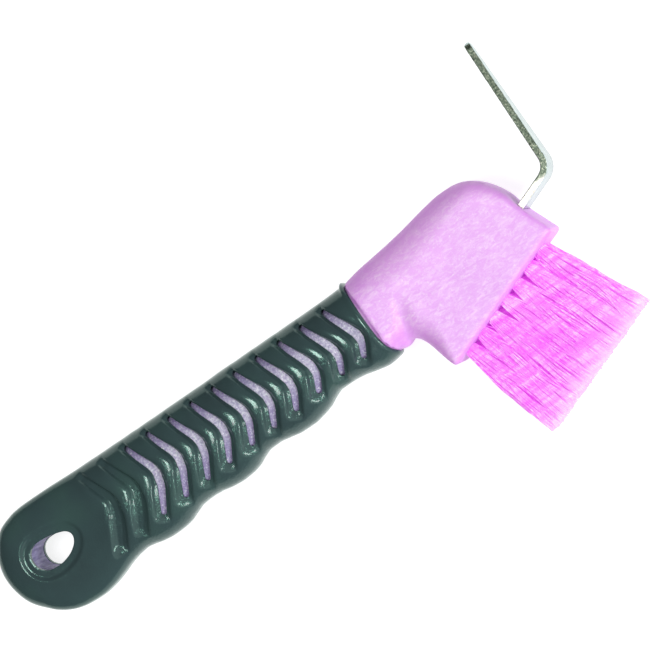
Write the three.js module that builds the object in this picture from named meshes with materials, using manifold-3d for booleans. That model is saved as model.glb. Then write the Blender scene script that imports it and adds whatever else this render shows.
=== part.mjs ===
// Hoof pick with a brush: one moulded core (handle, neck and head), a soft ribbed
// grip moulded over the handle, a bent flat steel pick set in the head, and a
// staple-set brush of 7 x 3 bristle tufts, each held in its hole by a steel anchor.
//
// Frame: X runs along the handle towards the head, Y runs across it, away from the
// finger scallops and towards the pick, and Z is the thickness. Millimetres.
// The object lies on its side, so the head's flat side is at Z = 0.

import * as THREE from 'three';
import { mergeVertices } from 'three/addons/utils/BufferGeometryUtils.js';
import Module from 'manifold-3d';

const wasm = await Module();
wasm.setup();

// ---------------------------------------------------------------- dimensions
const GAP = 0.3;                 // clearance between pieces that touch
const HEAD_HALF = 9.0;           // half the head's thickness
const GRIP_WALL = 1.8;           // soft shell over the handle core
const GRIP_WALL_END = 1.6;       // soft shell round the hanging hole
const GRIP_EDGE_WALL = 2.4;      // soft shell along the two long edges
const GRIP_SIDES = 22;           // points round a grip section
const CORE_SIDES = 18;           // points round a core section

// Grip outline: X, back edge Y, finger edge Y, half thickness, squareness
const GRIP = [
  [-107.6, -6.4, -6.9, 0.5, 2.4],
  [-107.2, -3.6, -10.0, 2.6, 2.4],
  [-106.0, -0.3, -13.9, 4.2, 2.5],
  [-104.0, 2.5, -16.6, 5.3, 2.7],
  [-101.0, 5.1, -19.4, 6.0, 3.0],
  [-97.5, 6.4, -22.0, 6.3, 3.2],
  [-93.0, 7.0, -23.6, 6.3, 3.3],
  [-88.0, 7.0, -23.9, 6.3, 3.3],
  [-83.0, 6.8, -23.1, 6.5, 3.1],
  [-79.0, 6.6, -22.0, 6.9, 3.0],
  [-75.0, 6.5, -20.8, 7.5, 2.8],
  [-71.5, 6.4, -20.3, 8.1, 2.7],
  [-68.0, 6.3, -20.9, 8.5, 2.6],
  [-64.5, 6.2, -21.6, 8.7, 2.6],
  [-61.0, 6.1, -21.6, 8.8, 2.6],
  [-57.5, 6.1, -21.0, 8.85, 2.6],
  [-54.0, 6.0, -19.7, 8.9, 2.6],
  [-50.0, 5.9, -19.3, 8.9, 2.6],
  [-46.0, 5.9, -19.5, 8.9, 2.6],
  [-42.0, 5.8, -20.2, 8.9, 2.6],
  [-38.0, 5.8, -20.2, 8.9, 2.6],
  [-34.0, 5.7, -19.4, 8.9, 2.6],
  [-30.5, 5.7, -17.9, 8.9, 2.6],
  [-27.0, 5.7, -17.7, 8.9, 2.6],
  [-23.0, 5.6, -18.4, 8.9, 2.6],
  [-19.0, 5.6, -18.8, 8.9, 2.6],
  [-15.0, 5.5, -18.7, 8.9, 2.6],
  [-11.0, 5.4, -17.8, 8.9, 2.6],
  [-7.5, 5.4, -16.1, 8.9, 2.6],
  [-4.0, 5.3, -15.6, 8.9, 2.6],
  [0.0, 5.3, -15.9, 8.9, 2.6],
  [3.5, 5.3, -16.8, 8.9, 2.6],
  [6.5, 5.4, -17.5, 8.85, 2.6],
  [8.6, 5.5, -17.1, 8.8, 2.6],
  [9.4, 6.0, -16.9, 8.8, 2.6],
  [10.3, 6.0, -16.6, 8.75, 2.6],
];
const COLLAR_X = 10.3;           // where the grip ends at the back edge
const COLLAR_SLANT = 1.7;        // how much further it reaches at the finger edge

// Chevron slots: pitch and the first slot's back end, knee and front end
const SLOT_COUNT = 10;
const GROOVE_COUNT = 2;          // blind chevrons that follow the slots
const SLOT_BACK = [2.45, 2.5, -6.88, 0.07];   // x, y, step in x, step in y
const SLOT_KNEE = [7.5, -7.3, -6.95, 0.0];
const SLOT_FRONT = [5.2, -12.1, -7.03, -0.38];
const SLOT_WIDTH = 1.9;
const GROOVE_DEPTH = 1.0;

// Hanging hole, an egg with its narrow end towards the head
const HOLE = [
  [-97.2, -6.6], [-96.2, -4.5], [-94.1, -3.5], [-90.8, -3.6], [-87.9, -4.2], [-85.2, -5.2],
  [-84.1, -6.8], [-84.8, -8.7], [-86.9, -10.3], [-89.6, -11.2], [-92.3, -11.4], [-95.0, -10.8], [-96.8, -9.0],
];

// Head outline from the collar's back edge round to its finger edge:
// X, Y, edge rounding across the outline, edge rounding in thickness
const HEAD = [
  [10.7, 5.5, 7.2, 6.6], [15.5, 6.1, 8.4, 6.6], [20, 6.6, 9.2, 6.6], [25, 7.2, 9.4, 6.6],
  [30, 7.9, 9.2, 6.6], [35, 8.8, 8.5, 6.6], [39, 9.45, 7.7, 6.6], [42.5, 9.8, 7.0, 6.6],
  [45.6, 9.85, 6.3, 6.4], [48.2, 9.35, 5.6, 6.2], [50.6, 8.3, 4.9, 5.8], [52.6, 6.7, 4.2, 5.2],
  [54.3, 4.8, 3.6, 4.6], [55.7, 2.5, 3.0, 4.0], [56.7, 0.0, 2.5, 3.4], [57.5, -3.0, 2.1, 2.7],
  [58.5, -6.0, 1.9, 2.3], [59.7, -9.2, 1.8, 2.0],
  [61.5, -13.6, 2.1, 1.8], [57.0, -15.25, 1.8, 1.8],
  [51.0, -17.4, 1.8, 1.8], [44.0, -20.0, 1.8, 1.8], [37.0, -22.5, 1.8, 1.8], [30.0, -25.05, 1.8, 1.8],
  [23.1, -27.5, 2.1, 1.8], [21.8, -24.6, 1.9, 2.4], [21.2, -22.7, 2.4, 3.2], [20.5, -20.4, 2.8, 4.0], [19.7, -18.3, 3.2, 4.6],
  [18.7, -16.7, 3.5, 5.0], [17.4, -15.6, 3.8, 5.4], [16.0, -15.2, 4.2, 5.8], [14.6, -15.3, 4.6, 6.2],
  [13.1, -15.8, 4.8, 6.6],
];

// Brush
const FACE_TOP = new THREE.Vector2(61.5, -13.6);      // ends of the flat brush face
const FACE_LOW = new THREE.Vector2(23.2, -27.5);
const TUFTS_LONG = 7, TUFTS_WIDE = 3;
const TUFT_FIRST = 6.0, TUFT_PITCH = 4.95;            // along the face
const ROW_PITCH = 5.2;                                // across the face
const TIP_PITCH = 5.35, TIP_ROW_PITCH = 6.0;          // spread at the cut ends
const TUFT_R = 1.4, TUFT_LENGTH = 28.0;
const HOLE_R = 1.75, HOLE_DEPTH = 7.6;
const ANCHOR = [0.4, 1.6, 2.7];                       // thickness, height, width

// Steel pick: a flat strip bent once, wide at the root and narrow at the tip
const PICK_WIDTH = 12.0, PICK_TIP_WIDTH = 4.0;
const PICK_THICK = 1.75, PICK_TIP_THICK = 1.65;
const PICK_EXIT = new THREE.Vector2(58.1, -4.3);
const PICK_DIR = new THREE.Vector2(0.937, 0.349).normalize();
const PICK_SHANK = 22.0;                              // length held in the head
const PICK_CORNER = new THREE.Vector2(68.95, -0.26);  // where the two straight legs would meet
const PICK_BEND_R = 4.6;
const PICK_TIP = new THREE.Vector2(69.2, 36.5);

// ---------------------------------------------------------------- solids
function toManifold(geometry) {
  const g = geometry.clone();
  g.deleteAttribute('normal');
  g.deleteAttribute('uv');
  const m = mergeVertices(g, 1e-5);
  return new wasm.Manifold(new wasm.Mesh({
    numProp: 3,
    vertProperties: new Float32Array(m.attributes.position.array),
    triVerts: new Uint32Array(m.index.array),
  }));
}

function toGeometry(manifold) {
  const mesh = manifold.getMesh();
  const g = new THREE.BufferGeometry();
  const p = new Float32Array(mesh.numVert * 3);
  for (let i = 0; i < mesh.numVert; i++) {
    for (let k = 0; k < 3; k++) p[3 * i + k] = mesh.vertProperties[mesh.numProp * i + k];
  }
  g.setAttribute('position', new THREE.BufferAttribute(p, 3));
  g.setIndex(new THREE.BufferAttribute(new Uint32Array(mesh.triVerts), 1));
  g.computeVertexNormals();
  return g;
}

// Closed skin through rings of equal point count, with flat ends
function ringSkin(rings) {
  const n = rings[0].length;
  const pos = rings.flat().flatMap((v) => [v.x, v.y, v.z]);
  const idx = [];
  for (let r = 0; r + 1 < rings.length; r++) {
    for (let i = 0; i < n; i++) {
      const a = r * n + i, b = r * n + (i + 1) % n;
      idx.push(a, b, a + n, b, b + n, a + n);
    }
  }
  const cap = (r, flip) => {
    const ring = rings[r];
    // project the ring on its best plane for the triangulation
    const c = ring.reduce((s, v) => s.add(v), new THREE.Vector3()).multiplyScalar(1 / n);
    const nor = new THREE.Vector3();
    for (let i = 0; i < n; i++) {
      nor.add(new THREE.Vector3().crossVectors(ring[i].clone().sub(c), ring[(i + 1) % n].clone().sub(c)));
    }
    nor.normalize();
    const ux = Math.abs(nor.x) < 0.9 ? new THREE.Vector3(1, 0, 0) : new THREE.Vector3(0, 1, 0);
    const e1 = new THREE.Vector3().crossVectors(nor, ux).normalize();
    const e2 = new THREE.Vector3().crossVectors(nor, e1);
    const flat = ring.map((v) => new THREE.Vector2(v.clone().sub(c).dot(e1), v.clone().sub(c).dot(e2)));
    for (const t of THREE.ShapeUtils.triangulateShape(flat, [])) {
      const [a, b, d] = t.map((k) => r * n + k);
      if (flip) idx.push(a, d, b); else idx.push(a, b, d);
    }
  };
  // the winding of both caps is set from the winding that closes the skin
  cap(0, true);
  cap(rings.length - 1, false);
  const g = new THREE.BufferGeometry();
  g.setAttribute('position', new THREE.Float32BufferAttribute(pos, 3));
  g.setIndex(idx);
  return g;
}

function signedVolume(g) {
  const p = g.attributes.position, ix = g.index;
  const a = new THREE.Vector3(), b = new THREE.Vector3(), c = new THREE.Vector3();
  let v = 0;
  for (let i = 0; i < ix.count; i += 3) {
    a.fromBufferAttribute(p, ix.getX(i));
    b.fromBufferAttribute(p, ix.getX(i + 1));
    c.fromBufferAttribute(p, ix.getX(i + 2));
    v += a.dot(b.cross(c)) / 6;
  }
  return v;
}

function outward(g) {
  if (signedVolume(g) < 0) {
    const ix = g.index;
    for (let i = 0; i < ix.count; i += 3) {
      const t = ix.getX(i + 1);
      ix.setX(i + 1, ix.getX(i + 2));
      ix.setX(i + 2, t);
    }
  }
  return g;
}

// One superellipse section in the YZ plane, slanted to follow the collar
function section(x, yTop, yBot, half, square, sides) {
  const yc = (yTop + yBot) / 2, a = (yTop - yBot) / 2;
  const ring = [];
  for (let i = 0; i < sides; i++) {
    const f = (i / sides) * Math.PI * 2;
    const c = Math.cos(f), s = Math.sin(f);
    const y = yc + a * Math.sign(c) * Math.abs(c) ** (2 / square);
    const z = half * Math.sign(s) * Math.abs(s) ** (2 / square);
    ring.push(new THREE.Vector3(x + slant(x, y), y, z));
  }
  return ring;
}

function slant(x, y) {
  const along = THREE.MathUtils.smoothstep(x, -4, COLLAR_X);
  const across = (6 - y) / 23;
  return COLLAR_SLANT * along * across;
}

function loft(stations, sides) {
  return outward(ringSkin(stations.map((s) => section(...s, sides))));
}

// The grip's outline moved inwards by a wall thickness
function inset(extra, xEnd) {
  const out = [];
  for (const [x, yt, yb, h, p] of GRIP) {
    if (x < -104.5) continue;
    const end = THREE.MathUtils.smoothstep(x, -84, -74);
    const wall = THREE.MathUtils.lerp(GRIP_WALL_END, GRIP_WALL, end) + extra;
    const edge = GRIP_EDGE_WALL + extra;
    const near = THREE.MathUtils.smoothstep(x, -106.5, -97);   // draws in towards the closed end
    const yc = (yt + yb) / 2, a = (yt - yb) / 2 - edge;
    const k = 0.72 + 0.28 * near;
    out.push([x + (1 - near) * 0.9 + extra * (1 - near), yc + a * k, yc - a * k, (h - wall) * (0.62 + 0.38 * near), Math.min(p, 2.8)]);
  }
  const last = out[out.length - 1];
  out[out.length - 1] = [xEnd, last[1] - 0.4, last[2] + 0.2, last[3], last[4]];
  return out;
}

// A chevron with round ends: two arms and a soft knee
function chevron(back, knee, front, width) {
  const path = new THREE.QuadraticBezierCurve(
    back.clone().lerp(knee, 0.62), knee, knee.clone().lerp(front, 0.5));
  const mid = [back, ...path.getPoints(2), front];
  const left = [], right = [];
  for (let i = 0; i < mid.length; i++) {
    const a = mid[Math.max(i - 1, 0)], b = mid[Math.min(i + 1, mid.length - 1)];
    const d = b.clone().sub(a).normalize();
    const nrm = new THREE.Vector2(-d.y, d.x).multiplyScalar(width / 2);
    left.push(mid[i].clone().add(nrm));
    right.push(mid[i].clone().sub(nrm));
  }
  const d0 = mid[0].clone().sub(mid[1]).normalize().multiplyScalar(width * 0.45);
  const d1 = mid[mid.length - 1].clone().sub(mid[mid.length - 2]).normalize().multiplyScalar(width * 0.45);
  return new THREE.Shape([...left, mid[mid.length - 1].clone().add(d1), ...right.reverse(), mid[0].clone().add(d0)]);
}

function prism(shape, z0, z1) {
  const g = new THREE.ExtrudeGeometry(shape, { depth: z1 - z0, bevelEnabled: false, curveSegments: 8 });
  g.translate(0, 0, z0);
  return g;
}

function slotShape(i, width) {
  const at = (d) => new THREE.Vector2(d[0] + d[2] * i, d[1] + d[3] * i);
  return chevron(at(SLOT_BACK), at(SLOT_KNEE), at(SLOT_FRONT), width);
}

function offsetPolygon(points, d) {
  const n = points.length;
  const area = THREE.ShapeUtils.area(points.map(([x, y]) => new THREE.Vector2(x, y)));
  const side = area > 0 ? 1 : -1;
  return points.map((p, i) => {
    const a = points[(i + n - 1) % n], b = points[(i + 1) % n];
    const t = new THREE.Vector2(b[0] - a[0], b[1] - a[1]).normalize();
    return new THREE.Vector2(p[0] + side * t.y * d, p[1] - side * t.x * d);
  });
}

// ---------------------------------------------------------------- grip
function halfAt(x) {
  for (let i = 0; i + 1 < GRIP.length; i++) {
    if (x <= GRIP[i + 1][0]) {
      const f = (x - GRIP[i][0]) / (GRIP[i + 1][0] - GRIP[i][0]);
      return THREE.MathUtils.lerp(GRIP[i][3], GRIP[i + 1][3], f);
    }
  }
  return GRIP[GRIP.length - 1][3];
}

const cavity = toManifold(loft(inset(0, 16), CORE_SIDES));
let grip = toManifold(loft(GRIP, GRIP_SIDES)).subtract(cavity);
grip = grip.subtract(toManifold(prism(new THREE.Shape(offsetPolygon(HOLE, 0)), -12, 12)));
for (let i = 0; i < SLOT_COUNT; i++) {
  const cut = slotShape(i, SLOT_WIDTH);
  grip = grip.subtract(toManifold(prism(cut, 1.5, 12)));
  grip = grip.subtract(toManifold(prism(cut, -12, -1.5)));
}
for (let i = SLOT_COUNT; i < SLOT_COUNT + GROOVE_COUNT; i++) {
  const cut = slotShape(i, SLOT_WIDTH);
  const z = halfAt(SLOT_KNEE[0] + SLOT_KNEE[2] * i) - GROOVE_DEPTH;
  grip = grip.subtract(toManifold(prism(cut, z, 12)));
  grip = grip.subtract(toManifold(prism(cut, -12, -z)));
}

// ---------------------------------------------------------------- core
// Head: one outline per level, drawn in along its rounded edges
function headLevels() {
  const curve = HEAD.map(([x, y]) => new THREE.Vector2(x, y));
  const n = curve.length;
  const wall = 10;                                 // points down the collar wall
  const levels = [0, 3.0, 5.2, 6.8, 7.9, 8.6, HEAD_HALF];
  const zs = [...levels.slice(1).reverse().map((z) => -z), ...levels];
  return zs.map((z) => {
    const pts = curve.map((p, i) => {
      const [, , rn, rz] = HEAD[i];
      const d = Math.max(0, Math.abs(z) - (HEAD_HALF - rz)) / rz;
      const draw = rn * (1 - Math.sqrt(Math.max(0, 1 - d * d)));
      if (i === 0) return new THREE.Vector2(p.x, p.y - draw);
      if (i === n - 1) return new THREE.Vector2(p.x - draw * 0.1, p.y + draw);
      const t = curve[i + 1].clone().sub(curve[i - 1]).normalize();
      return new THREE.Vector2(p.x + t.y * draw, p.y - t.x * draw);
    });
    const a = pts[n - 1], b = pts[0];
    for (let k = 1; k < wall; k++) {
      const y = THREE.MathUtils.lerp(a.y, b.y, k / wall);
      const bow = 0.03 * Math.sin((Math.PI * k) / wall);   // the wall is very slightly crowned
      pts.push(new THREE.Vector2(COLLAR_X + GAP + bow + slant(COLLAR_X, y), y));
    }
    return pts.map((p) => new THREE.Vector3(p.x, p.y, z));
  });
}

const along = FACE_LOW.clone().sub(FACE_TOP).normalize();     // down the face
const out = new THREE.Vector2(-along.y, along.x);             // out of the face
const faceAngle = Math.atan2(out.y, out.x);
function facePoint(s, n) {
  return FACE_TOP.clone().addScaledVector(along, s).addScaledVector(out, n);
}

// Strip outline in the XY plane for the pick and for the seat it is set in
function pickPath() {
  const end = PICK_EXIT.clone().addScaledVector(PICK_DIR, -PICK_SHANK);
  const up = PICK_TIP.clone().sub(PICK_CORNER).normalize();
  const turn = Math.acos(PICK_DIR.dot(up));
  const cut = PICK_BEND_R * Math.tan(turn / 2);
  const a = PICK_CORNER.clone().addScaledVector(PICK_DIR, -cut);
  const centre = a.clone().add(new THREE.Vector2(-PICK_DIR.y, PICK_DIR.x).multiplyScalar(PICK_BEND_R));
  const start = Math.atan2(a.y - centre.y, a.x - centre.x);
  const pts = [end.clone()];
  for (const f of [0.5, 0.99]) pts.push(end.clone().lerp(PICK_EXIT, f));
  for (let k = 0; k <= 8; k++) {
    const t = start + (turn * k) / 8;
    pts.push(new THREE.Vector2(centre.x + PICK_BEND_R * Math.cos(t), centre.y + PICK_BEND_R * Math.sin(t)));
  }
  const legStart = pts[pts.length - 1].clone();
  for (const f of [0.2, 0.4, 0.6, 0.8, 0.93, 0.965, 0.985, 1]) pts.push(legStart.clone().lerp(PICK_TIP, f));
  return pts;
}

function strip(path, grow, toIndex) {
  const pts = path.slice(0, toIndex ?? path.length);
  let run = [0];
  for (let i = 1; i < path.length; i++) run.push(run[i - 1] + path[i].distanceTo(path[i - 1]));
  const total = run[run.length - 1], bendEnd = run[11];
  const rings = pts.map((p, i) => {
    const a = pts[Math.max(i - 1, 0)], b = pts[Math.min(i + 1, pts.length - 1)];
    const t = b.clone().sub(a).normalize(), nn = new THREE.Vector2(-t.y, t.x);
    const f = Math.max(0, (run[i] - bendEnd) / (total - bendEnd));
    const left = total - run[i];
    let w = THREE.MathUtils.lerp(PICK_WIDTH, PICK_TIP_WIDTH, f) / 2;
    const r = PICK_TIP_WIDTH / 2;
    if (left < r) w = Math.max(0.55, w * Math.sqrt(Math.max(0, 1 - ((r - left) / r) ** 2)));
    const h = THREE.MathUtils.lerp(PICK_THICK, PICK_TIP_THICK, f) / 2 + grow;
    w += grow;
    const q = p.clone();
    if (i === 0) q.addScaledVector(t, -grow);
    const c = Math.min(0.35, h * 0.45);            // small edge break
    return [[h, w - c], [h, -w + c], [h - c, -w], [-h + c, -w], [-h, -w + c], [-h, w - c], [-h + c, w], [h - c, w]]
      .map(([d, z]) => new THREE.Vector3(q.x + nn.x * d, q.y + nn.y * d, z));
  });
  return outward(ringSkin(rings));
}

let core = toManifold(loft(inset(GAP, 18), CORE_SIDES)).add(toManifold(outward(ringSkin(headLevels()))));
core = core.subtract(toManifold(prism(new THREE.Shape(offsetPolygon(HOLE, 0)), -12, 12)));

const path = pickPath();
core = core.subtract(toManifold(strip(path, GAP, 5)));

function cylinderOut(radius, s, z, n0, n1, sides) {
  const g = new THREE.CylinderGeometry(radius, radius, n1 - n0, sides);
  g.rotateZ(faceAngle - Math.PI / 2);
  const c = facePoint(s, (n0 + n1) / 2);
  g.translate(c.x, c.y, z);
  return g;
}
const seats = [];
for (let i = 0; i < TUFTS_LONG; i++) {
  for (let j = 0; j < TUFTS_WIDE; j++) {
    seats.push({ i, j, s: TUFT_FIRST + TUFT_PITCH * i, z: (j - (TUFTS_WIDE - 1) / 2) * ROW_PITCH });
  }
}
for (const t of seats) core = core.subtract(toManifold(cylinderOut(HOLE_R, t.s, t.z, -HOLE_DEPTH, 4, 10)));

// ---------------------------------------------------------------- tufts and anchors
const MID_S = TUFT_FIRST + (TUFT_PITCH * (TUFTS_LONG - 1)) / 2;
function tuftGeometry(t) {
  const levels = [[-7.25, 0.93], [-6.7, 1], [0.6, 1], [12, 0.46], [TUFT_LENGTH, 1]];
  const rings = levels.map(([n, k], r) => {
    const f = Math.max(0, n) / TUFT_LENGTH;          // how far out of the face
    const s = THREE.MathUtils.lerp(t.s, MID_S + (t.i - (TUFTS_LONG - 1) / 2) * TIP_PITCH, f);
    const z = THREE.MathUtils.lerp(t.z, (t.j - (TUFTS_WIDE - 1) / 2) * TIP_ROW_PITCH, f);
    const hs = r < 3 ? TUFT_R * k : THREE.MathUtils.lerp(TUFT_R, TIP_PITCH / 2 - 0.17, k);
    const hz = r < 3 ? TUFT_R * k : THREE.MathUtils.lerp(TUFT_R, TIP_ROW_PITCH / 2 - 0.2, k);
    const p = r < 3 ? 2 : THREE.MathUtils.lerp(2, 4.5, k);
    const ring = [];
    for (let a = 0; a < 10; a++) {
      const c = Math.cos((a * Math.PI) / 5), d = Math.sin((a * Math.PI) / 5);
      const q = facePoint(s + hs * Math.sign(c) * Math.abs(c) ** (2 / p), n);
      ring.push(new THREE.Vector3(q.x, q.y, z + hz * Math.sign(d) * Math.abs(d) ** (2 / p)));
    }
    return ring;
  });
  return outward(ringSkin(rings));
}
function anchorBox(t, grow, width) {
  const g = new THREE.BoxGeometry(ANCHOR[1] + 2 * grow, ANCHOR[0] + 2 * grow, width);
  g.rotateZ(faceAngle);
  const c = facePoint(t.s, -5.6);
  g.translate(c.x, c.y, t.z);
  return g;
}

// ---------------------------------------------------------------- assembly
const coreMaterial = new THREE.MeshStandardMaterial({ color: 0xdca6ec, roughness: 0.5, metalness: 0 });
const gripMaterial = new THREE.MeshStandardMaterial({ color: 0x2c4345, roughness: 0.25, metalness: 0 });
const steelMaterial = new THREE.MeshStandardMaterial({ color: 0x9aa39b, roughness: 0.35, metalness: 1 });
const bristleMaterial = new THREE.MeshStandardMaterial({ color: 0xff8cf5, roughness: 0.4, metalness: 0 });

const parts = [];
const add = (name, geometry, material) => {
  const mesh = new THREE.Mesh(geometry, material.clone());
  mesh.name = name;
  parts.push(mesh);
};
add('handle_core', toGeometry(core), coreMaterial);
add('grip_overmould', toGeometry(grip), gripMaterial);
add('pick_blade', toGeometry(toManifold(strip(path, 0))), steelMaterial);
for (const t of seats) {
  const window = toManifold(anchorBox(t, GAP, 4));
  add(`tuft_${t.i + 1}_${'abc'[t.j]}`, toGeometry(toManifold(tuftGeometry(t)).subtract(window)), bristleMaterial);
}
for (const t of seats) add(`tuft_anchor_${t.i + 1}_${'abc'[t.j]}`, toGeometry(toManifold(anchorBox(t, 0, ANCHOR[2]))), steelMaterial);

// The origin is the middle of the bounding box in X and Y, at the lowest point
const hoofPick = new THREE.Group();
hoofPick.name = 'hoof_pick';
const box = new THREE.Box3();
for (const mesh of parts) {
  mesh.geometry.computeBoundingBox();
  box.union(mesh.geometry.boundingBox);
  hoofPick.add(mesh);
}
const centre = box.getCenter(new THREE.Vector3());
hoofPick.position.set(-centre.x, -centre.y, -box.min.z);
hoofPick.updateMatrixWorld(true);

export default hoofPick;
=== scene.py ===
import math

import bmesh
import bpy
import numpy as np
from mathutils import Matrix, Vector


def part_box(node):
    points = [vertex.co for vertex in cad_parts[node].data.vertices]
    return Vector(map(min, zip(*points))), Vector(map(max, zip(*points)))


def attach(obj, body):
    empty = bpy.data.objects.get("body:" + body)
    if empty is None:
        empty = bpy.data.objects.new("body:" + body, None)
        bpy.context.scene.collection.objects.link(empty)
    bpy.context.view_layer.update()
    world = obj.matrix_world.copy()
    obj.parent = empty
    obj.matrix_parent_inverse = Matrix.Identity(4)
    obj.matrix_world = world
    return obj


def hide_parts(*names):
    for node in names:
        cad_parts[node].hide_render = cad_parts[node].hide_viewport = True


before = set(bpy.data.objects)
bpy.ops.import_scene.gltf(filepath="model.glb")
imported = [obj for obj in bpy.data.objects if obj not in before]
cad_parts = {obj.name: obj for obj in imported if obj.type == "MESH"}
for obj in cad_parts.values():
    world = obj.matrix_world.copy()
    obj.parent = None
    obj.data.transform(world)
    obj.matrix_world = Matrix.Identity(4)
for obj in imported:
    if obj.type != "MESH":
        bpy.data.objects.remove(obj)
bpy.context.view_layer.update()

RNG = np.random.default_rng(20521)

# ------------------------------------------------------------------ frame
# Shapes are worked out in millimetres in the part's own drawing axes and then
# moved to the row frame. The two CAD extremes give the shift between them.
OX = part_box("grip_overmould")[0][0] * 1000.0 + 107.6
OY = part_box("pick_blade")[1][1] * 1000.0 - 36.5
OZ = 9.0
SHIFT = np.array([OX, OY, OZ])


def to_row(p):
    return (np.asarray(p, float) + SHIFT) / 1000.0


# ------------------------------------------------------------------ helpers
def hermite(xs, ys, x):
    """Smooth curve through points, with slopes limited so it never overshoots."""
    xs, ys, x = np.asarray(xs, float), np.asarray(ys, float), np.asarray(x, float)
    h = np.diff(xs)
    d = np.diff(ys) / h
    m = np.zeros_like(ys)
    m[0], m[-1] = d[0], d[-1]
    for i in range(1, len(xs) - 1):
        if d[i - 1] * d[i] > 0:
            w1, w2 = 2 * h[i] + h[i - 1], h[i] + 2 * h[i - 1]
            m[i] = (w1 + w2) / (w1 / d[i - 1] + w2 / d[i])
    k = np.clip(np.searchsorted(xs, x) - 1, 0, len(xs) - 2)
    t = np.clip((x - xs[k]) / h[k], 0, 1)
    return ((2 * t**3 - 3 * t**2 + 1) * ys[k] + (t**3 - 2 * t**2 + t) * h[k] * m[k]
            + (-2 * t**3 + 3 * t**2) * ys[k + 1] + (t**3 - t**2) * h[k] * m[k + 1])


def step(x, a, b):
    t = np.clip((np.asarray(x, float) - a) / (b - a), 0, 1)
    return t * t * (3 - 2 * t)


def mesh_object(name, verts_mm, faces, smooth_angle=None):
    me = bpy.data.meshes.new(name)
    me.from_pydata([tuple(v) for v in to_row(verts_mm)], [], faces)
    me.validate()
    me.update()
    o = bpy.data.objects.new(name, me)
    bpy.context.scene.collection.objects.link(o)
    shade(o, smooth_angle)
    return o


def shade(o, angle=None):
    """Smooth shading, with edges sharper than the angle left hard."""
    bm = bmesh.new()
    bm.from_mesh(o.data)
    lim = math.radians(angle) if angle else None
    for f in bm.faces:
        f.smooth = True
    if lim:
        for e in bm.edges:
            e.smooth = not (len(e.link_faces) == 2 and e.calc_face_angle(0.0) > lim)
    bm.to_mesh(o.data)
    bm.free()


def rings_to_mesh(name, rings, angle=None):
    """Closed skin through rings (n_rings, n, 3), with fan caps."""
    rings = np.asarray(rings, float)
    r, n, _ = rings.shape
    v = rings.reshape(-1, 3)
    faces = []
    for i in range(r - 1):
        for j in range(n):
            k = (j + 1) % n
            faces.append((i * n + j, i * n + k, (i + 1) * n + k, (i + 1) * n + j))
    c0, c1 = len(v), len(v) + 1
    v = np.vstack([v, rings[0].mean(0), rings[-1].mean(0)])
    for j in range(n):
        k = (j + 1) % n
        faces.append((k, j, c0))
        faces.append(((r - 1) * n + j, (r - 1) * n + k, c1))
    o = mesh_object(name, v, faces, angle)
    fix_normals(o)
    return o


def fix_normals(o):
    bm = bmesh.new()
    bm.from_mesh(o.data)
    if bm.calc_volume(signed=True) < 0:
        bmesh.ops.reverse_faces(bm, faces=bm.faces)
    bm.to_mesh(o.data)
    bm.free()


def apply_modifiers(o):
    dg = bpy.context.evaluated_depsgraph_get()
    me = bpy.data.meshes.new_from_object(o.evaluated_get(dg))
    old = o.data
    o.modifiers.clear()
    o.data = me
    bpy.data.meshes.remove(old)


def remove(o):
    me = o.data
    bpy.data.objects.remove(o, do_unlink=True)
    if me.users == 0:
        bpy.data.meshes.remove(me)


def cut(o, tools, op="DIFFERENCE"):
    for t in tools:
        m = o.modifiers.new("cut", "BOOLEAN")
        m.operation = op
        m.object = t
        m.solver = "EXACT"
        bpy.context.view_layer.update()
        apply_modifiers(o)
        remove(t)


def join(objs):
    """Several closed meshes in one object, so one boolean takes them all."""
    bm = bmesh.new()
    for o in objs:
        bm.from_mesh(o.data)
    a = objs[0]
    bm.to_mesh(a.data)
    bm.free()
    for o in objs[1:]:
        remove(o)
    return a


def prism(name, poly, z0, z1):
    poly = np.asarray(poly, float)
    n = len(poly)
    v = np.vstack([np.c_[poly, np.full(n, z0)], np.c_[poly, np.full(n, z1)]])
    faces = [tuple(range(n))[::-1], tuple(range(n, 2 * n))]
    for j in range(n):
        k = (j + 1) % n
        faces.append((j, k, n + k, n + j))
    o = mesh_object(name, v, faces)
    fix_normals(o)
    return o


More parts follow.
